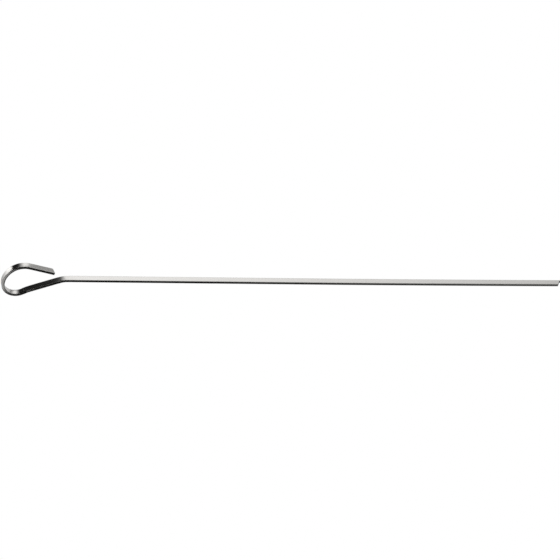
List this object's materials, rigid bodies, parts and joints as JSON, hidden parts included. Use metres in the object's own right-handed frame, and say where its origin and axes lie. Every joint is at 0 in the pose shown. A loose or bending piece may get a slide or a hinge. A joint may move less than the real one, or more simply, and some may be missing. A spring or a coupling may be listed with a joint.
{
  "type": "inoculating loop",
  "caption": "One-piece flat steel wire hand tool with a long straight shank, an open teardrop eye at one end and a sheared tip at the other.",
  "frame": {"origin": "midway along the tool, at the middle of the strip's width, level with the lowest point of the eye", "axes": "+X along the shank from the eye to the tip, +Z square to the strip's wide face, on the side of the eye's tail, Y across the strip's width"},
  "size_m": [0.26, 0.003, 0.0169],
  "materials": {
    "bright_steel": "bright drawn stainless steel strip with fine lengthwise draw lines"
  },
  "bodies": {
    "root": {"strip": "bright_steel"}
  },
  "joints": []
}
